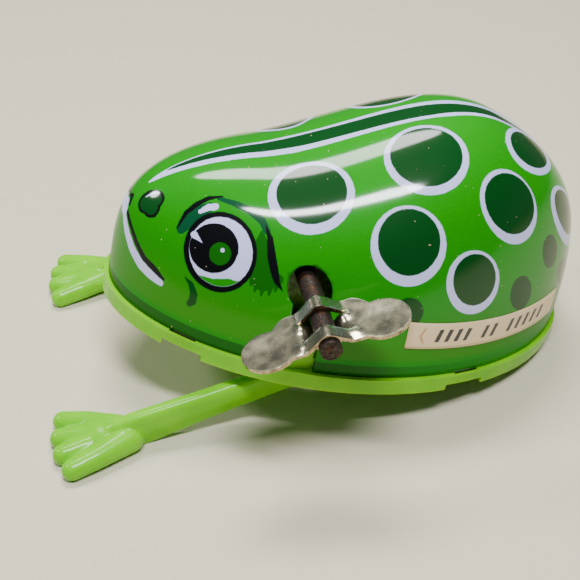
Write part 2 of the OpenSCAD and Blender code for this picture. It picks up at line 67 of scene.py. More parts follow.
LENGTH = 74
SIDE_WIDTH, SIDE_BULGE = 20, 3.6
HEAD_HEIGHT, BACK_HEIGHT = 24.7, 35
RISE_START, RISE_END = 0.34, 0.66
NOSE_POWER, TAIL_POWER = 0.47, 0.65
SIDE_ROUND, TOP_ROUND = 2.2, 1.9
RIM_HEIGHT = 2.6
TIN = 0.4


def half_width(s):
    return math.sin(math.pi * s) * (SIDE_WIDTH + SIDE_BULGE * math.sin(math.pi * s))


def height(s):
    u = min(max((s - RISE_START) / (RISE_END - RISE_START), 0), 1)
    rise = HEAD_HEIGHT + (BACK_HEIGHT - HEAD_HEIGHT) * u * u * (3 - 2 * u)
    return max(math.sin(math.pi * s), 0) ** (NOSE_POWER if s < 0.5 else TAIL_POWER) * rise


def share_at(y):
    return math.acos(max(min(-2 * y / LENGTH, 1), -1)) / math.pi


def shell_point(s, t, inset=0.0):
    """A point of the shell in the toy's frame, with t in degrees."""
    sine, cosine = math.sin(math.radians(t)), max(math.cos(math.radians(t)), 0)
    return Vector((
        (half_width(s) - inset) * math.copysign(abs(sine) ** (2 / SIDE_ROUND), sine),
        -math.cos(math.pi * s) * LENGTH / 2 * (1 - 2 * inset / LENGTH),
        RIM_HEIGHT + (height(s) - inset) * cosine ** (2 / TOP_ROUND),
    ))


def on_shell(y, t):
    return shell_point(share_at(y), t)


def shell_axes(y, t):
    """Directions on the shell: towards the tail, up the flank, and outwards."""
    s = share_at(y)
    along = (shell_point(s + 1e-3, t) - shell_point(s - 1e-3, t)).normalized()
    up = (shell_point(s, t - 0.1) - shell_point(s, t + 0.1)).normalized()
    out = along.cross(up).normalized()
    return along, out.cross(along), out


# ---------------------------------------------------------------------------------------------
# Shader nodes
# ---------------------------------------------------------------------------------------------


def srgb(r, g, b):
    """A colour given as 0 to 255 values, as the linear colour that shaders take."""
    def linear(value):
        share = value / 255
        return share / 12.92 if share < 0.0404 else ((share + 0.055) / 1.055) ** 2.4

    return linear(r), linear(g), linear(b), 1


class Shader:
    """One material, with short calls that add nodes and return their output sockets."""

    def __init__(self, name):
        self.material = bpy.data.materials.new(name)
        self.material.use_nodes = True
        self.tree = self.material.node_tree
        self.surface = self.tree.nodes["Principled BSDF"]

    def node(self, kind, **settings):
        node = self.tree.nodes.new(kind)
        for key, value in settings.items():
            setattr(node, key, value)
        return node

    def put(self, socket, value):
        if isinstance(value, bpy.types.NodeSocket):
            self.tree.links.new(value, socket)
        else:
            socket.default_value = value

    def math(self, operation, *values):
        node = self.node("ShaderNodeMath", operation=operation)
        for socket, value in zip(node.inputs, values):
            self.put(socket, value)
        return node.outputs[0]

    def clamped(self, value):
        """value kept between 0 and 1 (a node's own clamp uses up Cycles' stack in a big shader)."""
        return self.math("MINIMUM", self.math("MAXIMUM", value, 0.0), 1.0)

    def vector(self, operation, *values):
        node = self.node("ShaderNodeVectorMath", operation=operation)
        for socket, value in zip(node.inputs, values):
            self.put(socket, value)
        gives_number = operation in ("LENGTH", "DOT_PRODUCT", "DISTANCE")
        return node.outputs["Value" if gives_number else "Vector"]

    def ease(self, value, low, high, at_low, at_high):
        """value taken smoothly from at_low to at_high as it passes from low to high."""
        node = self.node("ShaderNodeMapRange", interpolation_type="SMOOTHSTEP")
        for socket, number in zip(node.inputs, (value, low, high, at_low, at_high)):
            self.put(socket, number)
        return node.outputs[0]

    def both(self, first, second):
        """Mask of where both masks are set."""
        return self.math("MULTIPLY", first, second)

    def span(self, value, rise, fall):
        """Mask that comes in over rise and goes out over fall, each a pair of values."""
        return self.both(self.ease(value, *rise, 0.0, 1.0), self.ease(value, *fall, 1.0, 0.0))

    def mix(self, factor, first, second):
        node = self.node("ShaderNodeMix", data_type="RGBA")
        self.put(node.inputs[0], factor)
        self.put(node.inputs[6], first)
        self.put(node.inputs[7], second)
        return node.outputs[2]

    def noise(self, where, scale, detail=2.0, roughness=0.5):
        node = self.node("ShaderNodeTexNoise")
        self.put(node.inputs["Vector"], where)
        self.put(node.inputs["Scale"], scale)
        self.put(node.inputs["Detail"], detail)
        self.put(node.inputs["Roughness"], roughness)
        return node.outputs["Fac"], node.outputs["Color"]

    def bump(self, value, distance, strength=1.0):
        node = self.node("ShaderNodeBump")
        self.put(node.inputs["Height"], value)
        self.put(node.inputs["Distance"], distance)
        self.put(node.inputs["Strength"], strength)
        self.put(self.surface.inputs["Normal"], node.outputs[0])

    def set(self, **values):
        for key, value in values.items():
            self.put(self.surface.inputs[key.replace("_", " ")], value)

    def millimetres(self):
        """Coordinates in the row frame, in millimetres."""
        where = self.node("ShaderNodeTexCoord").outputs["Object"]
        return self.scaled(where, 1 / MM)

    def scaled(self, where, factor):
        node = self.node("ShaderNodeVectorMath", operation="SCALE")
        self.put(node.inputs[0], where)
        self.put(node.inputs["Scale"], factor)
        return node.outputs[0]


class Print(Shader):
    """Printed artwork on the shell. Shapes are placed by (y, t): along the toy, and down the flank."""

    EDGE = 0.07     # half width of a printed edge
    WAVE = 0.16     # how far the ink's edges wander
    DEPTH = 12      # how far in and out an ellipse reaches
    FOLD = 0.05     # distance from the spine where the right side's mirrored print starts
    SLIP = 1.4      # how far forward the print slips on the right side's back half

    def __init__(self, name, ground):
        super().__init__(name)
        to_toy = self.node("ShaderNodeMapping", vector_type="POINT")
        self.put(to_toy.inputs["Vector"], self.node("ShaderNodeTexCoord").outputs["Object"])
        turn_back = Matrix.Rotation(NOSE_UP, 3, "X")
        self.put(to_toy.inputs["Location"], ARBOR - turn_back @ KEY_AXIS / MM)
        self.put(to_toy.inputs["Rotation"], (NOSE_UP, 0, 0))
        self.put(to_toy.inputs["Scale"], (1 / MM,) * 3)
        self.toy = to_toy.outputs[0]
        # Slightly wavy edges, as ink has
        wave = self.vector("SUBTRACT", self.noise(self.toy, 1.6, 2)[1], (0.5, 0.5, 0.5))
        wavy = self.vector("ADD", self.toy, self.scaled(wave, self.WAVE))
        parts = self.node("ShaderNodeSeparateXYZ")
        self.put(parts.inputs[0], wavy)
        self.x, self.y, self.z = parts.outputs
        # Both sides carry the same print, with the right side's back half a little out of register
        folded = self.math("MAXIMUM", self.x, self.math("SUBTRACT", 2 * self.FOLD, self.x))
        on_right = self.ease(self.x, -0.5, 0.0, 1.0, 0.0)
        slip = self.math("MULTIPLY", on_right, self.ease(self.y, -14, -8, 0.0, self.SLIP))
        self.where = self.point(folded, self.math("ADD", self.y, slip), self.z)
        self.colour = ground

    def point(self, *values):
        """One vector from three numbers."""
        node = self.node("ShaderNodeCombineXYZ")
        for socket, value in zip(node.inputs, values):
            self.put(socket, value)
        return node.outputs[0]

    def paint(self, mask, colour):
        self.colour = self.mix(mask, self.colour, colour)

    def inside(self, distance):
        return self.ease(distance, -self.EDGE, self.EDGE, 1.0, 0.0)

    def ellipse(self, y, t, along, across, lean=0.0):
        """Mask of an ellipse on the shell. lean turns its first axis from the tail up the flank."""
        u, v, out = shell_axes(y, t)
        turn = Matrix.Rotation(math.radians(lean), 3, out)
        start = self.vector("SUBTRACT", self.where, on_shell(y, t))
        axes = (turn @ u / along, turn @ v / across, out / self.DEPTH)
        shares = self.point(*(self.vector("DOT_PRODUCT", start, axis) for axis in axes))
        edge = self.EDGE / min(along, across)
        return self.ease(self.vector("LENGTH", shares), 1 - edge, 1 + edge, 1.0, 0.0)

    def stroke(self, points):
        """Mask of a brush stroke through points, each with its half width in millimetres."""
        nearest = None
        for (y0, t0, r0), (y1, t1, r1) in zip(points, points[1:]):
            a, b = on_shell(y0, t0), on_shell(y1, t1)
            way = b - a
            start = self.vector("SUBTRACT", self.where, a)
            share = self.clamped(self.vector("DOT_PRODUCT", start, way / way.length_squared))
            reach = self.vector("DISTANCE", start, self.scaled(way, share))
            gap = self.math("SUBTRACT", self.math("MULTIPLY_ADD", share, r0 - r1, reach), r0)
            nearest = gap if nearest is None else self.math("MINIMUM", nearest, gap)
        return self.inside(nearest)


# ---------------------------------------------------------------------------------------------
# Colours
# ---------------------------------------------------------------------------------------------

LEAF = srgb(0, 136, 0)
LEAF_PAINTED_LIGHT = srgb(8, 154, 0)
LEAF_DEEP = srgb(0, 92, 0)
LEAF_OLIVE = srgb(58, 132, 0)
FOREST = srgb(0, 66, 16)
TEAL = srgb(0, 72, 40)
BLACK = srgb(3, 4, 8)
WHITE = srgb(204, 206, 255)
LIME = srgb(124, 208, 0)
LIME_DEEP = srgb(96, 184, 0)
CREAM = srgb(240, 214, 172)
LABEL_TAN = srgb(224, 196, 152)
LABEL_INK = srgb(44, 42, 46)
LABEL_STAIN = srgb(176, 120, 66)
TEAR_BROWN = srgb(190, 96, 30)
RUST = srgb(96, 62, 38)

# Ringed spots on one side, as (y, t, first radius, second radius, lean) of the ring and of its disc
SPOTS = [
    ((-11.4, 26.7, 6.1, 5.8, 0), (-11.3, 25.8, 5.0, 4.7, 0)),
    ((4.5, 21.8, 6.1, 5.8, 0), (4.5, 21.0, 5.2, 4.9, 0)),
    ((1.9, 49.2, 5.45, 5.7, 0), (1.9, 48.1, 4.5, 4.7, 0)),
    ((17.7, 39.8, 6.1, 4.9, -32), (17.7, 38.8, 5.1, 4.2, -20)),
    ((12.7, 62.1, 4.4, 5.1, 35), (12.8, 61.3, 3.55, 4.1, 35)),
    ((22.4, 13.2, 5.7, 4.1, 22), (22.4, 12.7, 4.6, 3.2, 22)),
    ((30.8, 33.3, 6.5, 3.7, -9), (30.8, 31.3, 5.1, 2.8, -5)),
]
# Plain dark dots
DOTS = [
    (27.2, 51.9, 3.0, 2.1, -42), (22.2, 66.2, 2.3, 3.1, 40),
    (3.0, 68.6, 2.3, 2.3, 0), (32.3, 58.5, 2.8, 1.9, -15),
]


def print_ground(p, grain):
    """Green, with painted light that makes it lighter up the back, yellower down the flanks, and with
    a deeper band along the bottom.
    """
    # Painted light: the green gets lighter towards the top of the back, as if lit from above
    p.paint(p.ease(p.z, 10.0, 34.0, 0.0, 0.8), LEAF_PAINTED_LIGHT)
    p.paint(p.ease(grain, 0.3, 0.7, 0.0, 0.22), LEAF_DEEP)
    p.paint(p.ease(p.z, 6.0, 15.0, 0.55, 0.0), LEAF_OLIVE)
    p.paint(p.ease(p.z, 4.6, 6.2, 1.0, 0.0), LEAF)
    fade_to_tail = p.ease(p.y, -10, 22, 1.0, 0.2)
    p.paint(p.both(p.ease(p.z, 4.5, 4.7, 1.0, 0.0), fade_to_tail), LEAF_DEEP)


def print_spots(p):
    for ring, disc in SPOTS:
        p.paint(p.ellipse(*ring), WHITE)
        p.paint(p.ellipse(*disc), FOREST)
    for dot in DOTS:
        p.paint(p.ellipse(*dot), FOREST)


def print_stripe(p):
    """A dark blade between two white lines down the back, pointed at both ends."""
    def blade(front, back, middle, widest):
        off_centre = p.math("ABSOLUTE", p.math("SUBTRACT", p.x, middle))
        grow = p.clamped(p.math("MULTIPLY_ADD", p.y, 1 / 20, -front / 20))
        shrink = p.clamped(p.math("MULTIPLY_ADD", p.y, -1 / 18, back / 18))
        taper = p.math("MULTIPLY", p.math("POWER", grow, 0.6), p.math("POWER", shrink, 0.6))
        within = p.span(p.y, (front, front + 0.2), (back - 0.3, back))
        return p.both(within, p.inside(p.math("MULTIPLY_ADD", taper, -widest, off_centre)))

    veer = p.ease(p.y, -34, -14, 1.2, 0.0)
    drift = p.ease(p.y, -15, 8, -0.2, 0.4)
    p.paint(blade(-33, 27.5, p.math("ADD", veer, 0.2), 2.5), WHITE)
    p.paint(blade(-30.6, 24.5, p.math("ADD", veer, drift), 1.6), FOREST)


def print_brow(p):
    """The brow over the eye, and the shade behind it with its ragged lower end."""
    p.paint(p.stroke([(-18.1, 40.5, 0.25), (-18.1, 45, 1.0), (-17.6, 57.5, 1.7)]), LEAF_DEEP)
    for y, reach in ((-19.2, 60.5), (-18.6, 62.4), (-17.7, 63.6), (-16.7, 62.8), (-15.9, 61.2)):
        p.paint(p.stroke([(y + 0.3, 57, 0.75), (y, reach, 0.15)]), LEAF_DEEP)
    p.paint(p.stroke([
        (-28.7, 41.8, 0.7), (-27.7, 38, 1.0), (-26.6, 34, 1.0), (-25.0, 31, 0.7),
    ]), TEAL)
    p.paint(p.stroke([
        (-23.8, 27.0, 0.3), (-21.6, 29.5, 0.45), (-19.7, 32.2, 0.55), (-18.1, 36, 0.55),
        (-17.4, 40, 0.45),
    ]), TEAL)
    p.paint(p.stroke([
        (-29.2, 41.2, 0.15), (-28.2, 34, 0.34), (-26.7, 29.5, 0.4), (-25.2, 26.8, 0.34),
        (-23.3, 26.0, 0.1),
    ]), BLACK)
    # Painted highlight: a white patch on top of the brow
    p.paint(p.stroke([(-26.3, 33.2, 0.3), (-25.2, 31.2, 0.5), (-24.3, 30.9, 0.5)]), WHITE)
    p.paint(p.stroke([
        (-17.6, 37.8, 0.05), (-17.0, 42.5, 0.42), (-16.7, 48.8, 0.6), (-16.2, 54.2, 0.58),
        (-15.8, 57.7, 0.42), (-14.9, 60.9, 0.04),
    ]), BLACK)


def print_eye(p):
    p.paint(p.ellipse(-23.6, 50.0, 5.3, 5.7, 21), BLACK)
    white = p.ellipse(-23.5, 49.8, 4.55, 4.9, 24)
    p.paint(white, WHITE)
    lid = p.stroke([(-26.3, 62.0, 0.5), (-24, 63.8, 1.1), (-22, 62.2, 1.0), (-20.9, 60.8, 0.4)])
    p.paint(p.both(white, lid), LEAF)
    p.paint(p.ellipse(-24.4, 48.7, 3.6, 3.5), BLACK)
    p.paint(p.stroke([(-27.0, 43.9, 0.5), (-25.9, 47.0, 0.03)]), WHITE)
    p.paint(p.ellipse(-23.5, 50.6, 1.58, 1.62), LEAF_DEEP)
    # Painted glint: a small white dot on the iris
    p.paint(p.ellipse(-23.2, 49.0, 0.3, 0.3), WHITE)


def print_nostril(p):
    """A rounded drop: black outline, dark green inside, and a glint."""
    for shrink, ink in ((0, BLACK), (0.42, FOREST)):
        p.paint(p.ellipse(-32.75, 24.0, 2.35 - shrink, 1.7 - shrink), ink)
        p.paint(p.stroke([
            (-32.9, 25.4, 2.0 - shrink), (-32.6, 28.8, 1.5 - shrink),
            (-32.4, 32.0 - 3 * shrink, 0.85 - shrink),
        ]), ink)
    p.paint(p.stroke([(-33.3, 19.2, 0.08), (-32.2, 18.4, 0.16), (-31.6, 20.0, 0.1)]), WHITE)


def print_mouth(p):
    p.paint(p.stroke([
        (-35.6, 19.5, 0.28), (-34.95, 40.5, 0.34), (-34.3, 50, 0.4), (-33.1, 59.2, 0.46),
        (-31.8, 63, 0.52), (-30.5, 66.8, 0.25),
    ]), BLACK)
    p.paint(p.stroke([(-35.2, 2, 0.2), (-35.0, 8, 0.4), (-35.3, 17, 0.2)]), BLACK)
    p.paint(p.stroke([
        (-35.9, 23.5, 0.45), (-35.5, 42, 0.62), (-34.7, 55, 0.7), (-33.5, 63, 0.74),
        (-32.2, 66.6, 0.7), (-30.8, 68.9, 0.5),
    ]), WHITE)
    p.paint(p.stroke([(-35.8, 6, 1.0), (-35.9, 13, 0.9), (-35.9, 20, 0.55)]), WHITE)


def print_cheek(p):
    p.paint(p.stroke([
        (-27.8, 62.8, 0.06), (-26.9, 65.2, 0.4), (-26.4, 69.2, 0.58), (-26.5, 72.2, 0.62),
        (-26.8, 73.6, 0.5),
    ]), FOREST)


def litho_tin():
    """Green lithographed tin with the frog's face, stripe and spots under clear lacquer."""
    p = Print("frog_print", LEAF)
    grain = p.noise(p.toy, 4.5, 3, 0.7)[0]
    print_ground(p, grain)
    for print_part in (
        print_spots, print_stripe, print_brow, print_eye, print_nostril, print_mouth, print_cheek,
    ):
        print_part(p)
    # Dust and tiny chips
    specks = p.noise(p.toy, 2.6, 0)[0]
    p.paint(p.ease(specks, 0.86, 0.88, 0.0, 0.6), CREAM)
    p.set(Base_Color=p.colour, Roughness=0.5, Specular_IOR_Level=0.05)
    # The lacquer is thinner low on the flanks
    p.set(Coat_Weight=p.ease(p.z, 4, 17, 0.35, 1.0), Coat_Roughness=0.09, Coat_IOR=1.42)
    dents = p.noise(p.toy, 0.12, 2)[0]
    p.bump(p.math("MULTIPLY_ADD", grain, 0.03, dents), 0.0004, 0.35)
    return p.material


def bare_tin():
    """Inside of the pressed tin: dull grey plate."""
    p = Shader("bare_tin")
    mm = p.millimetres()
    stain = p.noise(mm, 0.5, 4)[0]
    p.set(Base_Color=p.mix(stain, srgb(46, 43, 38), srgb(84, 80, 72)), Metallic=0.9, Roughness=0.5)
    return p.material


def lime_plastic():
    """Moulded translucent yellow-green plastic."""
    p = Shader("moulded_lime")
    mm = p.millimetres()
    cloud = p.noise(mm, 0.15, 3)[0]
    p.set(Base_Color=p.mix(p.ease(cloud, 0.35, 0.65, 0.0, 0.5), LIME, LIME_DEEP))
    p.set(Roughness=0.22, Specular_IOR_Level=0.25)
    p.set(Subsurface_Weight=0.3, Subsurface_Radius=(0.9, 1.0, 0.05), Subsurface_Scale=0.003)
    p.bump(p.noise(mm, 1.2, 3)[0], 0.00005, 0.4)
    return p.material


def metal(name, light, dark, roughness, rust=0.0, grain=1.5):
    """Sheet or turned metal, mottled from light to dark, with more brown stains as rust rises."""
    p = Shader(name)
    mm = p.millimetres()
    mottle = p.noise(mm, grain, 4, 0.6)[0]
    colour = p.mix(p.ease(mottle, 0.3, 0.7, 0.0, 1.0), light, dark)
    stain = p.noise(p.vector("ADD", mm, (40, 7, 3)), 0.45, 5, 0.65)[0]
    spread = p.ease(stain, 0.62 - rust * 0.3, 0.75 - rust * 0.3, 0.0, min(rust * 2, 1.0))
    colour = p.mix(spread, colour, RUST)
    p.set(Base_Color=colour, Metallic=1.0)
    p.set(Roughness=p.ease(mottle, 0.25, 0.75, roughness * 0.75, roughness * 1.3))
    scratch = p.node("ShaderNodeMapping", vector_type="POINT")
    p.put(scratch.inputs["Vector"], mm)
    p.put(scratch.inputs["Scale"], (0.6, 6, 6))
    p.bump(p.noise(scratch.outputs[0], 1.2, 3)[0], 0.00001, 0.3)
    return p.material


def label_paper():
    """Cream sticker with plain printed bars instead of words, and a browned end."""
    p = Print("sticker_paper", CREAM)
    fibre = p.noise(p.toy, 1.5, 4)[0]
    p.paint(p.ease(fibre, 0.35, 0.75, 0.0, 0.35), LABEL_TAN)
    # Height above the label's own lower edge, which is bowed
    bow = p.math("POWER", p.math("SUBTRACT", p.y, LABEL_MIDDLE), 2.0)
    low = p.math("MULTIPLY_ADD", bow, LABEL_BOW, LABEL_LOW)
    up = p.math("SUBTRACT", p.z, low)
    off_middle = p.math("ABSOLUTE", p.math("SUBTRACT", up, LABEL_H * 0.52))
    # Three groups of slanted bars
    slanted = p.math("MULTIPLY_ADD", up, -0.3, p.y)
    beat = p.math("PINGPONG", slanted, BAR_PITCH / 2)
    line = p.ease(off_middle, 0.95, 1.08, 1.0, 0.0)
    bars = p.both(line, p.ease(beat, 0.3, 0.4, 1.0, 0.0))
    for start, end in BAR_GROUPS:
        p.paint(p.both(p.span(slanted, (start, start + 0.1), (end, end + 0.1)), bars), LABEL_INK)
    # A small brown tear, and browning at the front end
    bent = p.math("MULTIPLY_ADD", off_middle, -0.5, p.y)
    tear = p.ease(p.math("ABSOLUTE", p.math("SUBTRACT", bent, TEAR_AT)), 0.05, 0.3, 0.7, 0.0)
    p.paint(p.both(tear, p.ease(off_middle, 0.9, 1.6, 1.0, 0.0)), TEAR_BROWN)
    p.paint(p.ease(p.y, LABEL_FRONT, LABEL_FRONT + 1.6, 0.3, 0.0), LABEL_STAIN)
    p.set(Base_Color=p.colour, Roughness=0.45, Coat_Weight=0.25, Coat_Roughness=0.25)
    p.bump(fibre, 0.00003, 0.5)
    return p.material


# ---------------------------------------------------------------------------------------------
# Mesh helpers
# ---------------------------------------------------------------------------------------------


def finish_piece(piece, body, materials, replaces=()):
    """Gives the piece its materials, and says its body and the nodes that it replaces."""
    for material in materials:
        piece.data.materials.append(material)
    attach(piece, body)
    if replaces:
        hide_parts(*replaces)


def mesh_piece(name, points, faces, matrix=None, smooth=True):
    mesh = bpy.data.meshes.new(name)
    mesh.from_pydata([tuple(p) for p in points], [], faces)
    mesh.validate()
    if matrix is not None:
        mesh.transform(matrix)
    mesh.polygons.foreach_set("use_smooth", [smooth] * len(mesh.polygons))
    piece = bpy.data.objects.new(name, mesh)
    bpy.context.scene.collection.objects.link(piece)
    return piece


def modify(piece, kind, **settings):
    modifier = piece.modifiers.new(kind.lower(), kind)
    for key, value in settings.items():
        setattr(modifier, key, value)


def round_edges(piece, width, segments, sharper_than=30):
    modify(piece, "BEVEL", width=width, segments=segments, limit_method="ANGLE",
           angle_limit=math.radians(sharper_than))


def apply_modifiers(piece):
    """The piece's mesh becomes what its modifiers make of it."""
    evaluated = piece.evaluated_get(bpy.context.evaluated_depsgraph_get())
    shaped = bpy.data.meshes.new_from_object(evaluated)
    piece.modifiers.clear()
    old, piece.data = piece.data, shaped
    bpy.data.meshes.remove(old)


def cut(piece, cutter):
    """Takes the cutter out of the piece and deletes it."""
    modify(piece, "BOOLEAN", operation="DIFFERENCE", object=cutter, solver="EXACT")
    apply_modifiers(piece)
    bpy.data.objects.remove(cutter)


def rod_mesh(name, radius, x0, x1, y, z, sides=64):
    angles = [2 * math.pi * k / sides for k in range(sides)]
    ring = [(y + radius * math.cos(angle), z + radius * math.sin(angle)) for angle in angles]
    points = [(x, *p) for x in (x0, x1) for p in ring]
    faces = [(k, (k + 1) % sides, sides + (k + 1) % sides, sides + k) for k in range(sides)]
    faces += [tuple(reversed(range(sides))), tuple(range(sides, 2 * sides))]
    return mesh_piece(name, points, faces)


def box_mesh(name, low, high):
    points = [(x, y, z) for x in (low.x, high.x) for y in (low.y, high.y) for z in (low.z, high.z)]
    faces = [(0, 1, 3, 2), (4, 6, 7, 5), (0, 4, 5, 1), (2, 3, 7, 6), (0, 2, 6, 4), (1, 5, 7, 3)]
    return mesh_piece(name, points, faces, smooth=False)


# ---------------------------------------------------------------------------------------------
# Shell and label
# ---------------------------------------------------------------------------------------------

SHELL_ROWS, SHELL_COLUMNS = 132, 112
KEYHOLE_R, KEYHOLE_DROP, SLOT_W = 3.1, 0.4, 4.3
CUTTER_X = (10, 30)
LABEL_FRONT, LABEL_MIDDLE, LABEL_BACK = 3.5, 24, 31.5
BAR_PITCH, BAR_GROUPS = 1.6, ((7.2, 13.6), (15.2, 18.4), (20.0, 28.0))
TEAR_AT = 5.6
LABEL_LOW, LABEL_BOW, LABEL_H = 7.25, 0.0016, 4.1
LABEL_FACES = (0.03, 0.15)      # how far its two faces are off the shell
TAB_PLACES = (-27.1, 15.3)
# A tab from the shell's edge down and inwards: (x, z)
TAB_OUTLINE = ((-0.06, 2.62), (-0.06, 1.0), (-0.2, 0.62), (-0.6, 0.48), (-2.5, 0.42))
TAB_ROWS, TAB_CORNER = 5, 0.35


def shell_piece(print_material, tin_material):
    points, faces = [], []

    def skin(inset, inner):
        start = len(points)
        points.append(shell_point(0, 90, inset))
        for i in range(1, SHELL_ROWS):
            for j in range(SHELL_COLUMNS + 1):
                points.append(shell_point(i / SHELL_ROWS, -90 + 180 * j / SHELL_COLUMNS, inset))
        points.append(shell_point(1, 90, inset))
        row = SHELL_COLUMNS + 1
        last = len(points) - 1

        def at(i, j):
            return start + 1 + (i - 1) * row + j

        made = []
        for j in range(SHELL_COLUMNS):
            made.append((start, at(1, j), at(1, j + 1)))
            made.append((last, at(SHELL_ROWS - 1, j + 1), at(SHELL_ROWS - 1, j)))
            for i in range(1, SHELL_ROWS - 1):
                made.append((at(i, j), at(i + 1, j), at(i + 1, j + 1), at(i, j + 1)))
        faces.extend(tuple(reversed(face)) if inner else face for face in made)
        left = [start] + [at(i, 0) for i in range(1, SHELL_ROWS)] + [last]
        right = [start] + [at(i, SHELL_COLUMNS) for i in range(1, SHELL_ROWS)] + [last]
        return left, right, len(made)

    left_out, right_out, outer_count = skin(0, False)
    left_in, right_in, _ = skin(TIN, True)
    for i in range(SHELL_ROWS):
        faces.append((left_out[i + 1], left_out[i], left_in[i], left_in[i + 1]))
        faces.append((right_out[i], right_out[i + 1], right_in[i + 1], right_in[i]))
    shell = mesh_piece("frog_shell", points, faces)
    shell.data.materials.append(print_material)
    shell.data.materials.append(tin_material)
    indices = [0] * outer_count + [1] * (len(faces) - outer_count)
    shell.data.polygons.foreach_set("material_index", indices)
    cut(shell, rod_mesh("keyhole_cutter", KEYHOLE_R, *CUTTER_X, ARBOR.y, ARBOR.z - KEYHOLE_DROP))
    slot_low = Vector((CUTTER_X[0], ARBOR.y - SLOT_W / 2, 0))
    slot_high = Vector((CUTTER_X[1], ARBOR.y + SLOT_W / 2, ARBOR.z - 0.5))
    cut(shell, box_mesh("slot_cutter", slot_low, slot_high))
    shell.data.transform(TOY)
    shell.data.polygons.foreach_set("use_smooth", [True] * len(shell.data.polygons))
    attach(shell, "frog")
    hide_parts("tin_shell")


def shell_tabs(material):
    """The shell's four tin tabs, bent in under the base."""
    columns = len(TAB_OUTLINE)
    for number, (y, side) in enumerate((y, side) for y in TAB_PLACES for side in (-1, 1)):
        s = share_at(y)
        step = 1e-3
        outward = half_width(s + step) - half_width(s - step)
        along = 2 * step * math.pi * math.sin(math.pi * s) * LENGTH / 2
        turn = Matrix.Rotation(-math.atan2(outward, along), 4, "Z")
        points, faces = [], []
        for v in range(TAB_ROWS):
            for k, (x, z) in enumerate(TAB_OUTLINE):
                corner = v in (0, TAB_ROWS - 1) and k == columns - 1
                points.append((x - TIN / 2 + (TAB_CORNER if corner else 0), v - TAB_ROWS // 2, z))
        for v in range(TAB_ROWS - 1):
            for k in range(columns - 1):
                a = v * columns + k
                faces.append((a, a + 1, a + columns + 1, a + columns))
        tab = mesh_piece(f"shell_tab_{number + 1}", points, faces)
        tab.data.transform(turn)
        tab.data.transform(Matrix.Translation((half_width(s), y, 0)))
        if side < 0:
            tab.data.transform(Matrix.Scale(-1, 4, (1, 0, 0)))
            tab.data.flip_normals()
        modify(tab, "SOLIDIFY", thickness=TIN - 0.08, offset=0)
        round_edges(tab, 0.08, 2)
        apply_modifiers(tab)
        tab.data.transform(TOY)
        finish_piece(tab, "frog", [material])


def label_piece(material):
    points, faces = [], []
    steps, rows = 60, 8
    for off in LABEL_FACES:
        for i in range(steps + 1):
            y = LABEL_FRONT + (LABEL_BACK - LABEL_FRONT) * i / steps
            s = share_at(y)
            for v in range(rows + 1):
                z = LABEL_LOW + LABEL_BOW * (y - LABEL_MIDDLE) ** 2 + LABEL_H * v / rows
                t = math.degrees(math.acos(((z - RIM_HEIGHT) / height(s)) ** (TOP_ROUND / 2)))
                points.append(shell_point(s, t) + off * shell_axes(y, t)[2])
    row, layer = rows + 1, (rows + 1) * (steps + 1)
    for i in range(steps):
        for v in range(rows):
            a = i * row + v
            faces.append((layer + a, layer + a + row, layer + a + row + 1, layer + a + 1))
            faces.append((a, a + 1, a + row + 1, a + row))
    rim = [i * row for i in range(steps + 1)] + [steps * row + v for v in range(1, rows + 1)]
    rim += [i * row + rows for i in range(steps - 1, -1, -1)] + [v for v in range(rows - 1, 0, -1)]
    for a, b in zip(rim, rim[1:] + rim[:1]):
        faces.append((a, b, layer + b, layer + a))
    label = mesh_piece("rump_label", points, faces, TOY)
    finish_piece(label, "frog", [material], ["paper_label"])


# ---------------------------------------------------------------------------------------------
# Legs
# ---------------------------------------------------------------------------------------------

# The leg bar in the toy's frame: (x, y, z, half height)
LEG_PATH = [
    (17.6, 4.6, 4.2, 1.9), (17.6, -4, 1, 2.0), (17.8, -12, -2.6, 2.2), (19.2, -22.5, -6.9, 2.45),
    (20.5, -32.5, -11.05, 3.0), (20.5, -36.0, -12.2, 2.2), (20.4, -39.0, -13.0, 0.8),
]
# The foot in the standing frame, with each toe's tip, its root's place from the heel, how far its
# middle bows towards +X, and its thickness at the root
HEEL = Vector((20.6, -35.8, 1.5))
TOES = [
    (Vector((15.7, -44.8, 1.35)), Vector((-1.6, -0.8, 0.5)), -0.2, 1.85),
    (Vector((19.3, -45.25, 1.35)), Vector((-0.5, -1.2, 0.1)), 0.0, 1.85),
    (Vector((22.7, -44.9, 1.35)), Vector((-0.5, -1.2, 0.1)), 0.2, 1.85),
    (Vector((26.0, -43.7, 1.35)), Vector((1.0, 0.5, 0.4)), 0.35, 2.2),
]
TOE_MIDDLE_R, TOE_R = 1.75, 1.62
VOXEL = 0.2


def add_bar(bm):
    """The leg's flat bar, with rounded top corners and a slanted lower half."""
    stations = 40
    points = [Vector(point) for point in LEG_PATH]
    path = []
    for k in range(stations + 1):
        u = k / stations * (len(points) - 1)
        i = min(int(u), len(points) - 2)
        path.append(points[i].lerp(points[i + 1], u - i))
    rings = []
    for k, at in enumerate(path):
        way = path[min(k + 2, stations)] - path[max(k - 2, 0)]
        up = Vector((0, way.z, -way.y)).normalized()
        r = at.w
        # Half of the section, from the top down: (x, height above the middle)
        half = [
            (0.4, r), (0.95, r - 0.3), (1.2, r - 0.8), (1.2, -0.15 * r), (0.85, -r + 0.3), (0.6, -r),
        ]
        section = half + [(-x, rise) for x, rise in reversed(half)]
        rings.append([
            bm.verts.new(TO_STANDING @ (at.xyz + Vector((x, 0, 0)) + up * rise)) for x, rise in section
        ])
    count = len(rings[0])
    for first, second in zip(rings, rings[1:]):
        for k in range(count):
            bm.faces.new((first[k], first[(k + 1) % count], second[(k + 1) % count], second[k]))
    bm.faces.new(tuple(reversed(rings[0])))
    bm.faces.new(tuple(rings[-1]))


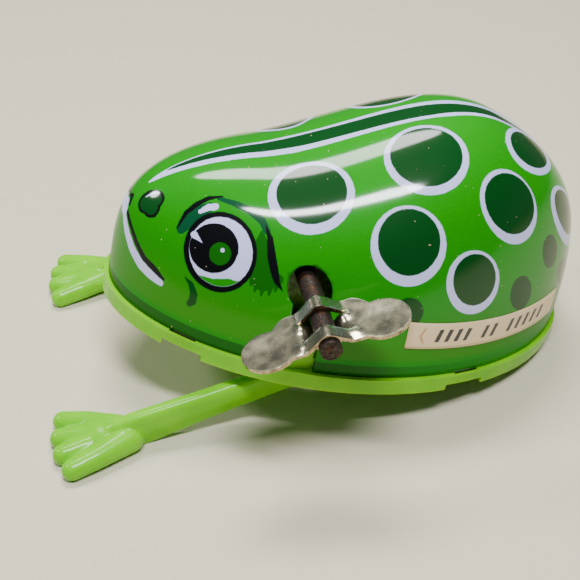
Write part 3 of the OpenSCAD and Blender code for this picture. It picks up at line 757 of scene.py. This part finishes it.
def leg_piece(name, side, material, node):
    """One leg with its four-toed foot, fused like a single moulding."""
    bm = bmesh.new()

    def ball(centre, radius, shape=(1, 1, 1)):
        place = Matrix.Translation(centre) @ Matrix.Diagonal((*shape, 1))
        bmesh.ops.create_icosphere(bm, subdivisions=3, radius=radius, matrix=place)

    def chain(a, b, ra, rb, count=9):
        for k in range(count + 1):
            ball(a.lerp(b, k / count), ra + (rb - ra) * k / count)

    for tip, from_heel, bow, root_r in TOES:
        root = HEEL + from_heel
        bend = root.lerp(tip, 0.55) + Vector((bow, 0, 0.1))
        chain(root, bend, root_r, TOE_MIDDLE_R)
        chain(bend, tip, TOE_MIDDLE_R, TOE_R)
    # The heel, and the web that joins the toes
    chain(HEEL + Vector((0.5, 0.4, 0.2)), HEEL + Vector((-1.2, -1.5, 0)), 2.0, 1.95)
    ball(HEEL + Vector((-0.8, -3.0, 0.6)), 1.0, (3.6, 3.8, 1.8))
    add_bar(bm)
    bmesh.ops.recalc_face_normals(bm, faces=bm.faces[:])
    mesh = bpy.data.meshes.new(name)
    bm.to_mesh(mesh)
    bm.free()
    leg = bpy.data.objects.new(name, mesh)
    bpy.context.scene.collection.objects.link(leg)
    modify(leg, "REMESH", mode="VOXEL", voxel_size=VOXEL, use_smooth_shade=True)
    modify(leg, "SMOOTH", factor=0.5, iterations=14)
    apply_modifiers(leg)
    for vertex in leg.data.vertices:
        vertex.co.z = max(vertex.co.z, 0.0)
    if side < 0:
        leg.data.transform(Matrix.Scale(-1, 4, (1, 0, 0)))
        leg.data.flip_normals()
    leg.data.transform(STAND)
    leg.data.polygons.foreach_set("use_smooth", [True] * len(leg.data.polygons))
    finish_piece(leg, "legs", [material], [node])


# ---------------------------------------------------------------------------------------------
# Winding key
# ---------------------------------------------------------------------------------------------

KEY_TILT = math.radians(24)
KEY_THICK = 0.55
KEY_START, KEY_END = 24.4, 32.8
KEY_BODY = 4.6
WING_AT, WING_X, WING_R = 7.8, 30.1, 3.8
# Where the middle band starts and ends: at the arbor, and as shares of the key's breadth further
# out, with the distance that it takes to pass from one to the other
BAND_EDGES, BAND_SHARES, BAND_BLEND = (26.7, 30.6), (0.26, 0.74), 2.5
LOOP_HALF, LOOP_SOFT, LOOP_FOOT, LOOP_FADE = 2.9, 0.6, 0.22, 0.8
BAND_RISES = (2.1, -2.1, 1.85)
# Dished wings, and the dimples at the bands' corners: distance out, place along, height, spread
HOLLOWS = ((WING_AT, WING_X, -0.18, 7), (2.9, 27.6, 0.5, 0.45), (3.6, 31.4, 0.3, 0.6))


def key_edges(v):
    """Where the key starts and ends along the arbor, at a distance v out from the arbor."""
    corner = max(v - KEY_BODY, 0)
    low = KEY_START + 0.6 * corner ** 1.5
    high = KEY_END - 0.3 * corner ** 2
    reach = WING_R ** 2 - (v - WING_AT) ** 2
    if v > WING_AT - WING_R and reach >= 0:
        low = min(low, WING_X - math.sqrt(reach))
        high = max(high, WING_X + math.sqrt(reach))
    if v >= WING_AT:
        low, high = WING_X - math.sqrt(max(reach, 0)), WING_X + math.sqrt(max(reach, 0))
    return low, high


def key_rise(x, v, band):
    """How far the sheet stands off the key's plane, at x along it and v out from the arbor."""
    a = abs(v)
    slope = math.hypot(a, LOOP_SOFT) - LOOP_SOFT
    tent = 1 - slope / (math.hypot(LOOP_HALF, LOOP_SOFT) - LOOP_SOFT)
    loop = (tent + math.hypot(tent, LOOP_FOOT)) / 2
    fade = min(max(LOOP_HALF + LOOP_FADE - a, 0), 1)
    rise = BAND_RISES[band] * loop * fade * fade * (3 - 2 * fade)
    for at, x_at, size, spread in HOLLOWS:
        rise += size * math.exp(-((a - at) ** 2 + (x - x_at) ** 2) / spread)
    return rise


def key_piece(face, edge):
    columns, tip_columns, rows = 34, 14, (5, 9, 5)
    stations = [WING_AT * k / columns for k in range(columns)]
    stations += [WING_AT + WING_R * math.sin(math.pi / 2 * k / tip_columns)
                 for k in range(tip_columns + 1)]
    stations = [-v for v in reversed(stations[1:])] + stations
    points, faces = [], []
    wing = Matrix.Translation((0, ARBOR.y, ARBOR.z)) @ Matrix.Rotation(KEY_TILT, 4, "X")
    for band, count in enumerate(rows):
        start = len(points)
        for v in stations:
            low, high = key_edges(abs(v))
            part = min(max((abs(v) - LOOP_HALF) / BAND_BLEND, 0), 1)
            first, second = (
                edge_x * (1 - part) + (low + share * (high - low)) * part
                for edge_x, share in zip(BAND_EDGES, BAND_SHARES)
            )
            a, b = ((low, first), (first, second), (second, high))[band]
            for r in range(count + 1):
                x = a + (b - a) * r / count
                points.append(wing @ Vector((x, v, key_rise(x, v, band))))
        for c in range(len(stations) - 1):
            for r in range(count):
                k = start + c * (count + 1) + r
                faces.append((k, k + 1, k + count + 2, k + count + 1))
    key = mesh_piece("stamped_key", points, faces)
    key.data.materials.append(face)
    key.data.materials.append(edge)
    bm = bmesh.new()
    bm.from_mesh(key.data)
    bmesh.ops.remove_doubles(bm, verts=bm.verts[:], dist=0.02)
    bm.to_mesh(key.data)
    bm.free()
    modify(key, "SOLIDIFY", thickness=KEY_THICK, offset=0, material_offset_rim=1)
    round_edges(key, 0.22, 4, 55)
    apply_modifiers(key)
    key.data.transform(TOY)
    key.data.polygons.foreach_set("use_smooth", [True] * len(key.data.polygons))
    finish_piece(key, "key", [], ["winding_key"])


# ---------------------------------------------------------------------------------------------
# Build
# ---------------------------------------------------------------------------------------------

print_ink = litho_tin()
inside_tin = bare_tin()
lime = lime_plastic()
shell_piece(print_ink, inside_tin)
shell_tabs(inside_tin)
label_piece(label_paper())

steel = metal("plate_steel", srgb(190, 186, 176), srgb(140, 136, 128), 0.34, 0.15)
brown_steel = metal("stained_steel", srgb(84, 74, 70), srgb(40, 34, 32), 0.6, 0.35, 4.0)
leg_piece("foot_and_leg_left", 1, lime, "left_leg")
leg_piece("foot_and_leg_right", -1, lime, "right_leg")
plating = metal("worn_plating", srgb(196, 192, 166), srgb(166, 160, 134), 0.24, 0.05, 0.6)
# The key's edge: rust stains, and a darker, more orange colour that is painted reflection, standing in
# for the dark line and orange tint that the edge reflects
edge_metal = metal("key_edge_stains_and_painted_reflection", srgb(206, 184, 150), srgb(120, 104, 86), 0.18, 0.15)
key_piece(plating, edge_metal)
gear_brass = metal("cut_brass", srgb(214, 176, 96), srgb(176, 138, 70), 0.3, 0.1)
by_slot = {
    "litho_tin": print_ink, "lime_plastic": lime, "motor_steel": steel,
    "arbor_steel": brown_steel, "key_plating": plating, "gear_brass": gear_brass,
}
slot_of = {part["node"]: part["material_slot"] for part in frame["record"]["subparts"]}
REPLACED = ("tin_shell", "paper_label", "winding_key", "left_leg", "right_leg")
TRAY_EDGE, METAL_EDGE = 0.3, 0.05
for name, node in frame["nodes"].items():
    if slot_of[name] in by_slot:
        for slot in node.material_slots:
            slot.material = by_slot[slot_of[name]]
    if name not in REPLACED:
        round_edges(node, (TRAY_EDGE if name == "base_tray" else METAL_EDGE) * MM, 3, 40)

# ---------------------------------------------------------------------------------------------
# Studio and camera
# ---------------------------------------------------------------------------------------------

FLOOR_HALF = 2


def studio():
    corners = [(x * FLOOR_HALF, y * FLOOR_HALF, 0) for x, y in ((-1, -1), (1, -1), (1, 1), (-1, 1))]
    floor = mesh_piece("floor", corners, [(0, 1, 2, 3)], smooth=False)
    p = Shader("floor_paint")
    p.set(Base_Color=srgb(216, 207, 182), Roughness=0.6, Specular_IOR_Level=0.2)
    floor.data.materials.append(p.material)
    world = bpy.data.worlds.new("studio")
    world.use_nodes = True
    sky = world.node_tree.nodes["Background"]
    sky.inputs["Color"].default_value = (0.9, 0.94, 1.0, 1)
    sky.inputs["Strength"].default_value = 0.11
    bpy.context.scene.world = world
    lamps = [
        # name, direction from the toy, distance, turn, size, power, colour
        ("flank_strip", (0.35, 0.01, 0.935), 0.42, 24, (0.045, 0.19), 2.1, (0.95, 0.98, 1.0)),
        ("top_panel", (-0.40, -0.01, 0.91), 0.45, 0, (0.11, 0.27), 2.1, (1.0, 0.99, 0.96)),
        ("nose_fill", (-0.25, -0.75, 0.60), 0.50, 0, (0.08, 0.08), 0.8, (1.0, 0.99, 0.97)),
    ]
    for name, direction, distance, turn, size, power, colour in lamps:
        light = bpy.data.lights.new(name, "AREA")
        light.shape = "ELLIPSE"
        light.size, light.size_y = size
        light.energy = power
        light.color = colour
        out = Vector(direction).normalized()
        along = Vector((math.sin(math.radians(turn)), math.cos(math.radians(turn)), 0))
        long = (along - out * along.dot(out)).normalized()
        lamp = bpy.data.objects.new(name, light)
        lamp.matrix_world = Matrix.Translation(Vector((0, 0, 0.02)) + out * distance) @ Matrix(
            (long.cross(out), long, out)).transposed().to_4x4()
        bpy.context.scene.collection.objects.link(lamp)


def camera():
    """The viewing angle: from the front left, above, close."""
    azimuth, elevation, distance = math.radians(79.7), math.radians(36.5), 0.17662
    aim = TOY @ Vector((0, -7.81, 0.8))
    level = math.cos(elevation)
    back = Vector((math.sin(azimuth) * level, -math.cos(azimuth) * level, math.sin(elevation)))
    data = bpy.data.cameras.new("camera")
    data.sensor_width = 36
    data.lens = 67.96
    data.clip_start = 0.01
    eye = bpy.data.objects.new("camera", data)
    eye.location = aim + back * distance
    eye.rotation_euler = back.to_track_quat("Z", "Y").to_euler()
    bpy.context.scene.collection.objects.link(eye)
    bpy.context.scene.camera = eye


studio()
camera()
